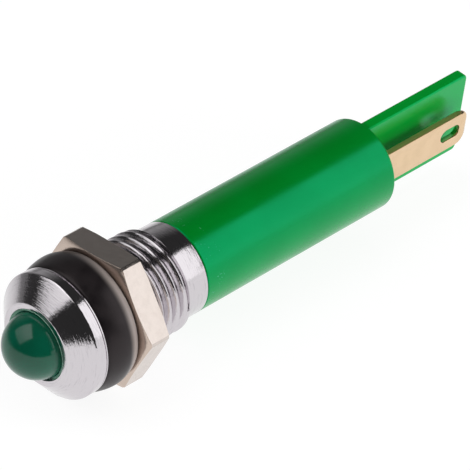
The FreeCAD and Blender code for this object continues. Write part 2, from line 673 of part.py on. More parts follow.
# Solder joints of the LED's leads and of the tabs
solder_nodes = [
    solder_joint("solder_anode", 1, LEAD_END, lead_bodies[0]),
    solder_joint("solder_cathode", -1, LEAD_END, lead_bodies[1]),
    solder_joint("solder_right_tab", 1, TAB_INNER_END, tab_bodies[0]),
    solder_joint("solder_left_tab", -1, TAB_INNER_END, tab_bodies[1]),
]

# Resin poured in behind the circuit, which seals the tabs into the rear wall
resin = doc.addObject("Part::Cylinder", "resin_before_cuts")
resin.setExpression("Radius", f"{CAVITY_RADIUS} - Sizes.fit_gap")
resin.setExpression("Height", f"{WALL_INNER} - Sizes.seat_gap - {POTTING_FRONT}")
resin.Placement.Rotation = FreeCAD.Rotation(FreeCAD.Vector(1, 0, 0), -90)
place(resin, "0", POTTING_FRONT, "0")
embedded = doc.addObject("Part::MultiFuse", "embedded_ends")
embedded.Shapes = [board] + tab_bodies
potting = doc.addObject("Part::Cut", "resin_plug")
potting.Base = resin
potting.Tool = embedded
doc.recompute()

# Check every object, then write one file for each piece
nodes = [bezel, led, seal, holder, gasket, nut, shell, board, potting]
nodes += lead_bodies + tab_bodies + part_nodes + solder_nodes
for thing in doc.Objects:
    if any(word in ("Invalid", "Error") for word in thing.State):
        raise RuntimeError(f"{thing.Name} failed: {thing.State}")
os.makedirs("parts", exist_ok=True)
for node in nodes:
    shape = node.Shape
    if shape.isNull() or not shape.isValid() or not shape.Solids:
        raise RuntimeError(f"{node.Label} has no sound shape")
    shape.exportStep(os.path.join("parts", f"{node.Label}.step"))
    box = shape.BoundBox
    print(f"{node.Label:24s} solids {len(shape.Solids)}  volume {shape.Volume:8.3f}  "
          f"x {box.XMin:7.3f} {box.XMax:7.3f}  y {box.YMin:7.3f} {box.YMax:7.3f}  "
          f"z {box.ZMin:7.3f} {box.ZMax:7.3f}")
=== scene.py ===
import math

import bpy
from mathutils import Matrix, Vector


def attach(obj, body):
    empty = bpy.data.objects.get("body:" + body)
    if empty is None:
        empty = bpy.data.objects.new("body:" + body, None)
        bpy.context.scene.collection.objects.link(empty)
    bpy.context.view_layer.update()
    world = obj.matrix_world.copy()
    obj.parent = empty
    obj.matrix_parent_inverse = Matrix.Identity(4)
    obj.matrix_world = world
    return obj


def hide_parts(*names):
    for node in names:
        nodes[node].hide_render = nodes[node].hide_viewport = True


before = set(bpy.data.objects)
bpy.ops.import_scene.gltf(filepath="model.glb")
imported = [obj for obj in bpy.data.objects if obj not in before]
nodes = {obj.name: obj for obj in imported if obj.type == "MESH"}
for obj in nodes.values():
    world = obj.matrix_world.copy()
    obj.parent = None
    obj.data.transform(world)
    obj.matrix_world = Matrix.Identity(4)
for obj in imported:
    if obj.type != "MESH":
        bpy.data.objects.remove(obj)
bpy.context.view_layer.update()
bpy.context.scene.view_settings.view_transform = "Standard"

# The bezel head, its cone and the threaded barrel are one piece, turned from brass bar.
# The thread is a fine one of 0.75 mm pitch that ends at the same depth as the plain collar.
# The whole piece is chromed bright over the marks that the lathe left.

MM = 0.001
HOLE_RADIUS = 2.70
LAND_RADIUS = 3.135
RIM_RADIUS = 4.78
BARREL_RADIUS = 3.95
COLLAR_RADIUS = 3.54
BORE_RADIUS = 3.10
LAND = -2.32
RIM_FRONT = -0.89
RIM_GROOVE_FRONT = -0.18
RIM_GROOVE_REAR = -0.09
RIM_GROOVE_DEPTH = 0.09
THREAD_END = 8.9
THREAD_RUN_OUT = 0.3
BARREL_END = 10.75
BORE_SHOULDER = 2.89
THREAD_PITCH = 0.75
THREAD_START = 0.45
THREAD_TURNS = 11
STEPS_PER_TURN = 80
AROUND = 160
WELD = 0.002
SLIVER = 0.003
RADIUS_SLACK = 0.012
PLACE_SLACK = 0.004


def clear_selection():
    """Leave edit mode and deselect every object."""
    if bpy.context.mode != "OBJECT":
        bpy.ops.object.mode_set(mode="OBJECT")
    bpy.ops.object.select_all(action="DESELECT")


def take(piece):
    """Make one object the only selected and active one."""
    clear_selection()
    piece.select_set(True)
    bpy.context.view_layer.objects.active = piece


def settle(piece):
    """Put the object's place, turn and scale into its mesh."""
    take(piece)
    bpy.ops.object.transform_apply(location=True, rotation=True, scale=True)


def extrude_rings(first, others):
    """Extrude the selected ring from place to place along Y, each given as (radius, place) in mm."""
    radius, place = first
    for next_radius, next_place in others:
        bpy.ops.mesh.extrude_region_move(
            TRANSFORM_OT_translate={"value": (0, (next_place - place) * MM, 0)})
        scale = next_radius / radius
        bpy.ops.transform.resize(value=(scale, 1, scale), center_override=(0, next_place * MM, 0))
        radius, place = next_radius, next_place


def turn_on_lathe(name, rings, segments=AROUND):
    """A closed turned piece, from the (radius, place) rings of its section in mm."""
    clear_selection()
    radius, place = rings[0]
    bpy.ops.mesh.primitive_circle_add(
        vertices=segments, radius=radius * MM, location=(0, place * MM, 0),
        rotation=(math.pi / 2, 0, 0))
    piece = bpy.context.object
    piece.name = name
    settle(piece)
    bpy.ops.object.mode_set(mode="EDIT")
    bpy.ops.mesh.select_all(action="SELECT")
    extrude_rings(rings[0], rings[1:])
    bpy.ops.mesh.select_all(action="SELECT")
    bpy.ops.mesh.remove_doubles(threshold=WELD * MM)
    bpy.ops.mesh.normals_make_consistent(inside=False)
    bpy.ops.object.mode_set(mode="OBJECT")
    return piece


def select_edges(piece, test):
    """Select the edges whose two ends, in mm, pass a test."""
    take(piece)
    bpy.ops.object.mode_set(mode="EDIT")
    bpy.ops.mesh.select_mode(type="EDGE")
    bpy.ops.mesh.select_all(action="DESELECT")
    bpy.ops.object.mode_set(mode="OBJECT")
    for edge in piece.data.edges:
        ends = [piece.data.vertices[number].co / MM for number in edge.vertices]
        edge.select = test(*ends)
    bpy.ops.object.mode_set(mode="EDIT")


def round_rings(piece, rings, width, segments=4):
    """Round the circular edges at (radius, place) pairs in mm."""
    def on_ring(start, end):
        return any(
            all(abs(math.hypot(point.x, point.z) - radius) < RADIUS_SLACK
                and abs(point.y - place) < PLACE_SLACK
                for point in (start, end))
            for radius, place in rings)
    select_edges(piece, on_ring)
    bpy.ops.mesh.bevel(offset=width * MM, segments=segments, profile=0.5, affect="EDGES")
    bpy.ops.object.mode_set(mode="OBJECT")


def drop_slivers(piece):
    """Dissolve the edges and faces that are too thin to show."""
    take(piece)
    bpy.ops.object.mode_set(mode="EDIT")
    bpy.ops.mesh.select_all(action="SELECT")
    bpy.ops.mesh.remove_doubles(threshold=SLIVER * MM)
    bpy.ops.mesh.dissolve_degenerate(threshold=SLIVER * MM)
    bpy.ops.object.mode_set(mode="OBJECT")


def cut_with(piece, tool, operation="DIFFERENCE"):
    """Cut the piece with a tool that is then thrown away."""
    take(piece)
    cut = piece.modifiers.new("cut", "BOOLEAN")
    cut.operation = operation
    cut.solver = "EXACT"
    cut.object = tool
    bpy.ops.object.modifier_apply(modifier=cut.name)
    bpy.data.objects.remove(tool, do_unlink=True)
    drop_slivers(piece)


def smooth(piece, angle, flat_faces=False):
    """Shade smooth, with sharp edges kept where faces meet at more than the angle.

    With flat_faces the large faces stay flat and the shading turns only across the narrow ones.
    """
    take(piece)
    bpy.ops.object.shade_smooth_by_angle(angle=math.radians(angle))
    if flat_faces:
        weights = piece.modifiers.new("flat faces", "WEIGHTED_NORMAL")
        weights.keep_sharp = True
        weights.weight = 80
        bpy.ops.object.modifier_apply(modifier=weights.name)


def dress(piece, body, node, material):
    """Let a finished piece stand for its node, ride on its body and wear its material."""
    piece.data.materials.clear()
    piece.data.materials.append(material)
    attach(piece, body)
    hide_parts(node)


bezel = turn_on_lathe("bezel_and_barrel", [
    (HOLE_RADIUS, BORE_SHOULDER),
    (HOLE_RADIUS, LAND),
    (LAND_RADIUS, LAND),
    (RIM_RADIUS, RIM_FRONT),
    (RIM_RADIUS, RIM_GROOVE_FRONT),
    (RIM_RADIUS - RIM_GROOVE_DEPTH, RIM_GROOVE_FRONT + 0.03),
    (RIM_RADIUS - RIM_GROOVE_DEPTH, RIM_GROOVE_REAR - 0.02),
    (RIM_RADIUS - 0.015, RIM_GROOVE_REAR),
    (RIM_RADIUS - 0.02, 0.0),
    (BARREL_RADIUS, 0.0),
    (BARREL_RADIUS, THREAD_END - THREAD_RUN_OUT),
    (COLLAR_RADIUS, THREAD_END),
    (COLLAR_RADIUS, BARREL_END),
    (BORE_RADIUS, BARREL_END),
    (BORE_RADIUS, BORE_SHOULDER),
    (HOLE_RADIUS, BORE_SHOULDER),
])
round_rings(bezel, [(HOLE_RADIUS, LAND), (LAND_RADIUS, LAND)], 0.05)
round_rings(bezel, [(RIM_RADIUS, RIM_FRONT)], 0.10, 6)
round_rings(bezel, [(COLLAR_RADIUS, BARREL_END)], 0.04, 3)

# The thread's groove is drawn flat, as (radius, half width) pairs, and swept into a closed solid
GROOVE = [
    (3.50, 0.045), (3.60, 0.10), (3.74, 0.175), (3.84, 0.24), (3.90, 0.29), (3.945, 0.345), (4.20, 0.35)]
GROOVE_STRIP = 0.01
GROOVE_ROOT, half = GROOVE[0]
clear_selection()
bpy.ops.mesh.primitive_plane_add(size=1, location=(0, 0, 0))
groove = bpy.context.object
groove.name = "thread_groove"
bpy.ops.object.mode_set(mode="EDIT")
bpy.ops.mesh.select_all(action="SELECT")
bpy.ops.transform.resize(value=(GROOVE_STRIP * MM, 2 * half * MM, 1))
bpy.ops.transform.translate(value=((GROOVE_ROOT - GROOVE_STRIP / 2) * MM, THREAD_START * MM, 0))
select_edges(groove, lambda start, end: min(start.x, end.x) > GROOVE_ROOT - GROOVE_STRIP / 2)
radius = GROOVE_ROOT
for next_radius, next_half in GROOVE[1:]:
    bpy.ops.mesh.extrude_region_move(
        TRANSFORM_OT_translate={"value": ((next_radius - radius) * MM, 0, 0)})
    bpy.ops.transform.resize(
        value=(1, next_half / half, 1), center_override=(next_radius * MM, THREAD_START * MM, 0))
    radius, half = next_radius, next_half
select_edges(groove, lambda start, end: (
    abs(start.x - end.x) < GROOVE_STRIP / 10
    and GROOVE_ROOT - GROOVE_STRIP / 2 < start.x < radius - GROOVE_STRIP))
bpy.ops.mesh.dissolve_edges(use_verts=False)
take(groove)
sweep = groove.modifiers.new("sweep", "SCREW")
sweep.axis = "Y"
sweep.angle = 2 * math.pi
sweep.screw_offset = THREAD_PITCH * MM
sweep.iterations = THREAD_TURNS
sweep.steps = STEPS_PER_TURN
sweep.render_steps = STEPS_PER_TURN
sweep.use_merge_vertices = False
bpy.ops.object.modifier_apply(modifier=sweep.name)
bpy.ops.object.mode_set(mode="EDIT")
bpy.ops.mesh.select_all(action="SELECT")
bpy.ops.mesh.fill_holes(sides=0)
bpy.ops.mesh.normals_make_consistent(inside=False)
cut_with(bezel, groove)
smooth(bezel, 40)


def add_node(tree, kind, **settings):
    """Add a shader node and set its properties."""
    node = tree.nodes.new(kind)
    for name, setting in settings.items():
        setattr(node, name, setting)
    return node


def calculate(tree, operation, *numbers):
    """Math node fed by sockets or plain numbers, and the socket of its result."""
    node = add_node(tree, "ShaderNodeMath", operation=operation)
    for place, number in enumerate(numbers):
        if isinstance(number, bpy.types.NodeSocket):
            tree.links.new(number, node.inputs[place])
        else:
            node.inputs[place].default_value = number
    return node.outputs[0]


def spread(tree, source, low, high, to_low, to_high):
    """Map a value from one range to another, with soft ends."""
    node = add_node(tree, "ShaderNodeMapRange", interpolation_type="SMOOTHSTEP")
    tree.links.new(source, node.inputs["Value"])
    for name, number in (("From Min", low), ("From Max", high), ("To Min", to_low), ("To Max", to_high)):
        node.inputs[name].default_value = number
    return node.outputs["Result"]


def blend_colours(tree, mask, first, second):
    """Mix two colours, given as sockets or values, by a mask."""
    node = add_node(tree, "ShaderNodeMix", data_type="RGBA")
    tree.links.new(mask, node.inputs["Factor"])
    for name, colour in (("A", first), ("B", second)):
        socket = [item for item in node.inputs if item.name == name and item.type == "RGBA"][0]
        if isinstance(colour, bpy.types.NodeSocket):
            tree.links.new(colour, socket)
        else:
            socket.default_value = (*colour, 1.0)
    return [item for item in node.outputs if item.type == "RGBA"][0]


def object_place(tree):
    """X, Y and Z sockets of the point that is shaded, in metres."""
    spot = add_node(tree, "ShaderNodeTexCoord")
    split = add_node(tree, "ShaderNodeSeparateXYZ")
    tree.links.new(spot.outputs["Object"], split.inputs[0])
    return split.outputs["X"], split.outputs["Y"], split.outputs["Z"]


def axis_distance(tree, across, upward):
    """How far a point lies from the lamp's axis, from its X and Z."""
    square_across = calculate(tree, "MULTIPLY", across, across)
    square_upward = calculate(tree, "MULTIPLY", upward, upward)
    return calculate(tree, "SQRT", calculate(tree, "ADD", square_across, square_upward))


def new_material(name, roughness, metallic=0.0, ior=1.5, **sockets):
    """Material with a principled shader, and constant values set on its own sockets."""
    material = bpy.data.materials.new(name)
    material.use_nodes = True
    tree = material.node_tree
    shader = tree.nodes["Principled BSDF"]
    shader.inputs["Roughness"].default_value = roughness
    shader.inputs["Metallic"].default_value = metallic
    shader.inputs["IOR"].default_value = ior
    for socket, setting in sockets.items():
        shader.inputs[socket.replace("_", " ")].default_value = setting
    return material, tree, shader


def raise_surface(tree, shader, height, depth):
    """Bump from a height that runs from 0 to 1 over a depth in mm."""
    bump = add_node(tree, "ShaderNodeBump")
    bump.inputs["Strength"].default_value = 1.0
    bump.inputs["Distance"].default_value = depth * MM
    tree.links.new(height, bump.inputs["Height"])
    tree.links.new(bump.outputs["Normal"], shader.inputs["Normal"])


def new_group(name, inputs, outputs):
    """Empty node group with named number inputs and outputs, and its two ends."""
    group = bpy.data.node_groups.new(name, "ShaderNodeTree")
    for label, default in inputs.items():
        socket = group.interface.new_socket(label, in_out="INPUT", socket_type="NodeSocketFloat")
        socket.default_value = default
    for label in outputs:
        group.interface.new_socket(label, in_out="OUTPUT", socket_type="NodeSocketFloat")
    return group, group.nodes.new("NodeGroupInput"), group.nodes.new("NodeGroupOutput")


def use_group(tree, group, **inputs):
    """Place a node group in a material with its own values."""
    node = add_node(tree, "ShaderNodeGroup", node_tree=group)
    for label, number in inputs.items():
        node.inputs[label.replace("_", " ")].default_value = number
    return node


def two_shades(tree, grain, first, second, low=0.35, high=0.65):
    """Mix two shades of a colour in the broad patches of the skin grain."""
    mask = spread(tree, grain.outputs["Patches"], low, high, 0.0, 1.0)
    return blend_colours(tree, mask, first, second)


# Marks that run round the axis, as a lathe leaves them: fine rings, broken up along their run.
# Radius and place add up to the way along a slope of 45 degrees, near that of the head's cone.
MM_ALONG_SLOPE = 707.0
NEAR_AXIS = 0.0001
lathe_marks, marks_in, marks_out = new_group(
    "lathe marks", {"Rings per mm": 5.0, "Breaks": 1.5}, ["Height", "Streaks"])
across, along, upward = object_place(lathe_marks)
reach = axis_distance(lathe_marks, across, upward)
run = calculate(lathe_marks, "MULTIPLY", calculate(lathe_marks, "ADD", reach, along), MM_ALONG_SLOPE)
ringed = calculate(lathe_marks, "MULTIPLY", run, marks_in.outputs["Rings per mm"])
safe_reach = calculate(lathe_marks, "MAXIMUM", reach, NEAR_AXIS)
round_x, round_z = [
    calculate(lathe_marks, "MULTIPLY", calculate(lathe_marks, "DIVIDE", side, safe_reach),
              marks_in.outputs["Breaks"])
    for side in (across, upward)]
joined = add_node(lathe_marks, "ShaderNodeCombineXYZ")
for socket, source in zip(joined.inputs, (round_x, ringed, round_z)):
    lathe_marks.links.new(source, socket)
fine = add_node(lathe_marks, "ShaderNodeTexNoise")
fine.inputs["Scale"].default_value = 1.0
fine.inputs["Detail"].default_value = 3.0
fine.inputs["Roughness"].default_value = 0.65
lathe_marks.links.new(joined.outputs[0], fine.inputs["Vector"])
streaks = spread(lathe_marks, fine.outputs["Fac"], 0.52, 0.72, 0.0, 1.0)
lathe_marks.links.new(fine.outputs["Fac"], marks_out.inputs["Height"])
lathe_marks.links.new(streaks, marks_out.inputs["Streaks"])

# Even grain of a cast, moulded or plated skin, with broad uneven patches over it
skin_grain, grain_in, grain_out = new_group(
    "skin grain", {"Grains per mm": 12.0, "Patches per mm": 0.6}, ["Height", "Patches"])
spot = add_node(skin_grain, "ShaderNodeTexCoord")
for label, output, detail in (("Grains per mm", "Height", 3.0), ("Patches per mm", "Patches", 2.0)):
    texture = add_node(skin_grain, "ShaderNodeTexNoise")
    texture.inputs["Detail"].default_value = detail
    skin_grain.links.new(spot.outputs["Object"], texture.inputs["Vector"])
    scale = calculate(skin_grain, "MULTIPLY", grain_in.outputs[label], 1 / MM)
    skin_grain.links.new(scale, texture.inputs["Scale"])
    skin_grain.links.new(texture.outputs["Fac"], grain_out.inputs[output])

CHROME = (0.655, 0.622, 0.650)
CHROME_DULL = (0.56, 0.53, 0.56)
RIPPLE_SHARE = 0.45
chrome, tree, shader = new_material("bright_chrome", 0.06, metallic=1.0)
marks = use_group(tree, lathe_marks, Rings_per_mm=8.0, Breaks=3.0)
chromed = blend_colours(tree, marks.outputs["Streaks"], CHROME, CHROME_DULL)
tree.links.new(chromed, shader.inputs["Base Color"])
ripple = use_group(tree, skin_grain, Grains_per_mm=5.0, Patches_per_mm=0.8)
tree.links.new(spread(tree, ripple.outputs["Patches"], 0.3, 0.7, 0.06, 0.12), shader.inputs["Roughness"])
rippled = calculate(tree, "MULTIPLY", ripple.outputs["Height"], RIPPLE_SHARE)
raise_surface(tree, shader, calculate(tree, "ADD", marks.outputs["Height"], rippled), 0.014)
dress(bezel, "lamp", "bezel_bush", chrome)

# The light is a round LED cast in glossy, diffused green epoxy: a dome on a straight stem.
# Its base flange sits in the barrel and has a flat on the cathode side.
# It is pushed into the bezel from behind until the flange meets the bore's shoulder.

LED_RADIUS = 2.45
LED_TIP = -4.66
DOME_CENTRE = LED_TIP + LED_RADIUS
FLANGE_RADIUS = 2.90
FLANGE_FRONT = 2.94
LED_BASE = 3.94
BASE_CENTRE = 0.2
CATHODE_FLAT = 2.55
FLAT_CUT = 1.0


def add_box(name, centre, size):
    """Box at a centre, with its sides along the axes, all in mm."""
    clear_selection()
    bpy.ops.mesh.primitive_cube_add(
        size=1, location=[number * MM for number in centre], scale=[number * MM for number in size])
    box = bpy.context.object
    box.name = name
    settle(box)
    return box


clear_selection()
bpy.ops.mesh.primitive_uv_sphere_add(
    segments=128, ring_count=64, radius=LED_RADIUS * MM, location=(0, DOME_CENTRE * MM, 0),
    rotation=(math.pi / 2, 0, 0))
led = bpy.context.object
led.name = "led_dome_and_base"
settle(led)
bpy.ops.object.mode_set(mode="EDIT")
bpy.ops.mesh.select_all(action="SELECT")
bpy.ops.mesh.bisect(
    plane_co=(0, DOME_CENTRE * MM, 0), plane_no=(0, 1, 0), clear_outer=True, use_fill=False)
select_edges(led, lambda start, end: min(start.y, end.y) > DOME_CENTRE - WELD)
extrude_rings((LED_RADIUS, DOME_CENTRE), [
    (LED_RADIUS, FLANGE_FRONT),
    (FLANGE_RADIUS, FLANGE_FRONT),
    (FLANGE_RADIUS, LED_BASE),
    (BASE_CENTRE, LED_BASE),
])
bpy.ops.mesh.edge_face_add()
bpy.ops.mesh.select_all(action="SELECT")
bpy.ops.mesh.remove_doubles(threshold=WELD / 2 * MM)
bpy.ops.mesh.normals_make_consistent(inside=False)
round_rings(led, [(FLANGE_RADIUS, FLANGE_FRONT), (FLANGE_RADIUS, LED_BASE)], 0.08)
cut_with(led, add_box(
    "cathode_flat", (-(CATHODE_FLAT + FLAT_CUT / 2), (FLANGE_FRONT + LED_BASE) / 2, 0),
    (FLAT_CUT, LED_BASE - FLANGE_FRONT + 0.1, 7)))
smooth(led, 30)

LED_GREEN = (0.002, 0.118, 0.066)
LED_DEEP = (0.001, 0.095, 0.050)
led_epoxy, tree, shader = new_material("diffused_green_epoxy", 0.09)
cloud = use_group(tree, skin_grain, Grains_per_mm=1.2, Patches_per_mm=0.35)
tree.links.new(two_shades(tree, cloud, LED_GREEN, LED_DEEP), shader.inputs["Base Color"])
tree.links.new(spread(tree, cloud.outputs["Height"], 0.3, 0.7, 0.11, 0.17), shader.inputs["Roughness"])
raise_surface(tree, shader, cloud.outputs["Height"], 0.004)
dress(led, "lamp", "led_lamp", led_epoxy)

# A clear compound is run into the gap between the LED's stem and the bezel's hole.
# It sets glossy and uneven and rises to the hole's edge. Its outer edge is painted pale as a highlight, and
# its lower side is painted dark as shade in the gap.

SEAL_FRONT = -2.17
SEAL_RISE = 0.16
SEAL_REAR = -1.07
SEAL_GAP = 0.03

seal = turn_on_lathe("seal_compound", [
    (LED_RADIUS + SEAL_GAP, SEAL_REAR),
    (LED_RADIUS + SEAL_GAP, SEAL_FRONT),
    (LED_RADIUS + 0.08, SEAL_FRONT - 0.02),
    (LED_RADIUS + 0.14, SEAL_FRONT - SEAL_RISE / 2),
    (HOLE_RADIUS - SEAL_GAP, SEAL_FRONT - SEAL_RISE),
    (HOLE_RADIUS - SEAL_GAP, SEAL_REAR),
    (LED_RADIUS + SEAL_GAP, SEAL_REAR),
], 128)
smooth(seal, 60)

SEAL_GREEN = (0.030, 0.30, 0.20)
SEAL_FLECK = (0.20, 0.48, 0.43)
SEAL_PAINTED_HIGHLIGHT = (0.52, 0.90, 0.70)
SEAL_PAINTED_SHADE = (0.006, 0.05, 0.04)
HIGHLIGHT_WIDTH = 0.21
HIGHLIGHT_FADE = 0.08
SHADE_BELOW = -2.00
UNSHADED_ABOVE = -1.50
sealant, tree, shader = new_material("sealing_compound", 0.12, ior=1.35)
bubbles = use_group(tree, skin_grain, Grains_per_mm=5.0, Patches_per_mm=3.0)
flecked = two_shades(tree, bubbles, SEAL_GREEN, SEAL_FLECK, 0.50, 0.60)
across, along, upward = object_place(tree)
# Painted highlight: the outer edge of the compound, where it meets the hole, is painted pale green.
highlight_start = HOLE_RADIUS - HIGHLIGHT_WIDTH
painted_highlight_edge = spread(
    tree, axis_distance(tree, across, upward), highlight_start * MM, (highlight_start + HIGHLIGHT_FADE) * MM, 0.0, 1.0)
# Painted shade: the lower side of the compound is painted dark, for the shade in the gap below the LED.
painted_shade_below = spread(tree, upward, SHADE_BELOW * MM, UNSHADED_ABOVE * MM, 1.0, 0.0)
sealed = blend_colours(tree, painted_highlight_edge, flecked, SEAL_PAINTED_HIGHLIGHT)
tree.links.new(blend_colours(tree, painted_shade_below, sealed, SEAL_PAINTED_SHADE), shader.inputs["Base Color"])
raise_surface(tree, shader, bubbles.outputs["Height"], 0.06)
dress(seal, "lamp", "led_seal_ring", sealant)

# The gasket is a moulded ring of smooth black rubber that slips over the thread.
# Its side swells outwards and its rear shoulder is rounded. A pale painted reflection lies on that shoulder,
# brighter towards +X, where the light falls.

GASKET_BORE = 3.98
GASKET_FRONT = 0.05
GASKET_REAR = 2.90

gasket = turn_on_lathe("rubber_gasket", [
    (GASKET_BORE, GASKET_FRONT),
    (4.58, GASKET_FRONT),
    (4.73, 0.13),
    (4.83, 0.40),
    (4.94, 0.78),
    (5.03, 1.20),
    (5.07, 1.60),
    (5.06, 1.92),
    (5.01, 2.16),
    (4.93, 2.42),
    (4.85, 2.66),
    (4.77, 2.81),
    (4.66, 2.88),
    (4.50, GASKET_REAR),
    (GASKET_BORE, GASKET_REAR),
    (GASKET_BORE, GASKET_FRONT),
])
take(gasket)
rounding = gasket.modifiers.new("rounding", "SUBSURF")
rounding.levels = 1
rounding.render_levels = 1
bpy.ops.object.modifier_apply(modifier=rounding.name)
smooth(gasket, 50)

RUBBER_BLACK = (0.010, 0.008, 0.009)
RUBBER_GREY = (0.016, 0.013, 0.014)
PAINTED_SHOULDER_REFLECTION = (0.38, 0.33, 0.31)
REFLECTION_FRONT = 1.80
REFLECTION_REAR = 2.60
DIM_REFLECTION_SIDE = -3.0
BRIGHT_REFLECTION_SIDE = 3.6
rubber, tree, shader = new_material(
    "black_rubber", 0.34, ior=1.38, Specular_Tint=(1.0, 0.88, 0.90, 1.0))
skin = use_group(tree, skin_grain, Grains_per_mm=14.0, Patches_per_mm=0.7)
black = two_shades(tree, skin, RUBBER_BLACK, RUBBER_GREY)
across, along, upward = object_place(tree)
# Painted reflection: the rear shoulder is painted pale, more on the +X side than on the -X side.
painted_reflection = spread(tree, along, REFLECTION_FRONT * MM, REFLECTION_REAR * MM, 0.0, 1.0)
painted_reflection = calculate(tree, "MULTIPLY", painted_reflection, spread(
    tree, across, DIM_REFLECTION_SIDE * MM, BRIGHT_REFLECTION_SIDE * MM, 0.16, 1.15))
tree.links.new(blend_colours(tree, painted_reflection, black, PAINTED_SHOULDER_REFLECTION), shader.inputs["Base Color"])
tree.links.new(spread(tree, skin.outputs["Patches"], 0.3, 0.7, 0.28, 0.40), shader.inputs["Roughness"])
raise_surface(tree, shader, skin.outputs["Height"], 0.006)
dress(gasket, "lamp", "sealing_gasket", rubber)

# The nut is a thin hexagon nut of brass, nickel plated to a warm satin finish.
# Its front is turned to a shallow cone that rounds the corners off, its rear edge has a slight
# chamfer, and it screws on to clamp the panel.

NUT_FRONT = 2.95
NUT_REAR = 4.95
NUT_FLATS = 10.0
NUT_TURN = 8.3
NUT_CORNER = NUT_FLATS / math.sqrt(3)
NUT_BORE = 4.0
BORE_CHAMFER = 0.15
CONE_START = 4.85
CONE_SLOPE = math.tan(math.radians(15))
BLANK_RADIUS = 5.70
REAR_CHAMFER_START = 5.20
REAR_CHAMFER = 0.10


def soften_edges(piece, name, width, segments, angle):
    """Bevel every edge where faces meet at more than the angle, by a width in mm."""
    take(piece)
    bevel = piece.modifiers.new(name, "BEVEL")
    bevel.width = width * MM
    bevel.segments = segments
    bevel.limit_method = "ANGLE"
    bevel.angle_limit = math.radians(angle)
    bpy.ops.object.modifier_apply(modifier=bevel.name)


clear_selection()
bpy.ops.mesh.primitive_cylinder_add(
    vertices=6, radius=NUT_CORNER * MM, depth=(NUT_REAR - NUT_FRONT) * MM,
    location=(0, (NUT_FRONT + NUT_REAR) / 2 * MM, 0), rotation=(math.pi / 2, 0, 0))
nut = bpy.context.object
nut.name = "hexagon_nut"
settle(nut)
first_corner = max(nut.data.vertices, key=lambda vertex: vertex.co.x + 0.01 * vertex.co.z).co
turned_by = math.degrees(math.atan2(first_corner.z, first_corner.x))
nut.rotation_euler = (0, math.radians(turned_by - NUT_TURN), 0)
settle(nut)
blank = turn_on_lathe("nut_blank", [
    (NUT_BORE, NUT_FRONT + BORE_CHAMFER),
    (NUT_BORE + BORE_CHAMFER, NUT_FRONT),
    (CONE_START, NUT_FRONT),
    (BLANK_RADIUS, NUT_FRONT + (BLANK_RADIUS - CONE_START) * CONE_SLOPE),
    (BLANK_RADIUS, NUT_REAR - REAR_CHAMFER),
    (REAR_CHAMFER_START, NUT_REAR),
    (NUT_BORE + BORE_CHAMFER, NUT_REAR),
    (NUT_BORE, NUT_REAR - BORE_CHAMFER),
    (NUT_BORE, NUT_FRONT + BORE_CHAMFER),
], 144)
cut_with(nut, blank, "INTERSECT")
soften_edges(nut, "worn edges", 0.035, 2, 28)
smooth(nut, 50, flat_faces=True)

NICKEL = (0.70, 0.625, 0.580)
NICKEL_DEEP = (0.67, 0.595, 0.55)
PAINTED_REFLECTION_BROWN = (0.62, 0.51, 0.44)
TURNED_GLOSS = -0.05
CONE_APEX = NUT_FRONT - CONE_START * CONE_SLOPE
nickel, tree, shader = new_material("satin_nickel", 0.22, metallic=1.0)
plate = use_group(tree, skin_grain, Grains_per_mm=14.0, Patches_per_mm=1.6)
plated = two_shades(tree, plate, NICKEL, NICKEL_DEEP)
across, along, upward = object_place(tree)
reach = axis_distance(tree, across, upward)
behind_cone = calculate(tree, "SUBTRACT", along, calculate(tree, "MULTIPLY", reach, CONE_SLOPE))
# Painted reflection: the turned cone face is painted a darker brown than the nickel, standing in for the dark
# reflection that this face shows.
turned_face = spread(tree, behind_cone, (CONE_APEX + 0.02) * MM, (CONE_APEX + 0.05) * MM, 1.0, 0.0)
tree.links.new(blend_colours(tree, turned_face, plated, PAINTED_REFLECTION_BROWN), shader.inputs["Base Color"])
satin = spread(tree, plate.outputs["Height"], 0.3, 0.7, 0.20, 0.26)
glossier = calculate(tree, "MULTIPLY", turned_face, TURNED_GLOSS)
tree.links.new(calculate(tree, "ADD", satin, glossier), shader.inputs["Roughness"])
raise_surface(tree, shader, plate.outputs["Height"], 0.006)
dress(nut, "nut", "hex_nut", nickel)

# The body is moulded in semi-gloss green plastic: a cup that plugs into the barrel.
# The barrier that keeps the two terminals apart grows out of its rear wall in the same moulding.

BODY_RADIUS = 3.53
PLUG_RADIUS = 3.07
CAVITY_RADIUS = 2.65
WALL_CENTRE = 0.3
SPIGOT_FRONT = 7.75
BODY_FRONT = 10.80
WALL_INNER = 28.50
BODY_REAR = 29.70
BARRIER_START = BODY_REAR - 0.6
BARRIER_END = 40.00
BARRIER_REACH = 3.51
BARRIER_THICKNESS = 0.90
TAB_SPREAD = 3.0
SLOT_THICKNESS = 0.56
SLOT_WIDTH = 2.86
SLOT_LENGTH = 3.0
NEAR = 0.01

body = turn_on_lathe("moulded_body", [
    (WALL_CENTRE, BODY_REAR),
    (BODY_RADIUS, BODY_REAR),
    (BODY_RADIUS, BODY_FRONT),
    (PLUG_RADIUS, BODY_FRONT),
    (PLUG_RADIUS, SPIGOT_FRONT),
    (CAVITY_RADIUS, SPIGOT_FRONT),
    (CAVITY_RADIUS, WALL_INNER),
    (WALL_CENTRE, WALL_INNER),
    (WALL_CENTRE, BODY_REAR),
])
round_rings(body, [(BODY_RADIUS, BODY_REAR)], 0.22, 5)
round_rings(body, [(BODY_RADIUS, BODY_FRONT)], 0.10, 3)
barrier = add_box(
    "barrier", (0, (BARRIER_END + BARRIER_START) / 2, 0),
    (BARRIER_THICKNESS, BARRIER_END - BARRIER_START, 2 * BARRIER_REACH))
select_edges(barrier, lambda start, end: (
    min(start.y, end.y) > BARRIER_END - NEAR and abs(start.z - end.z) < NEAR))
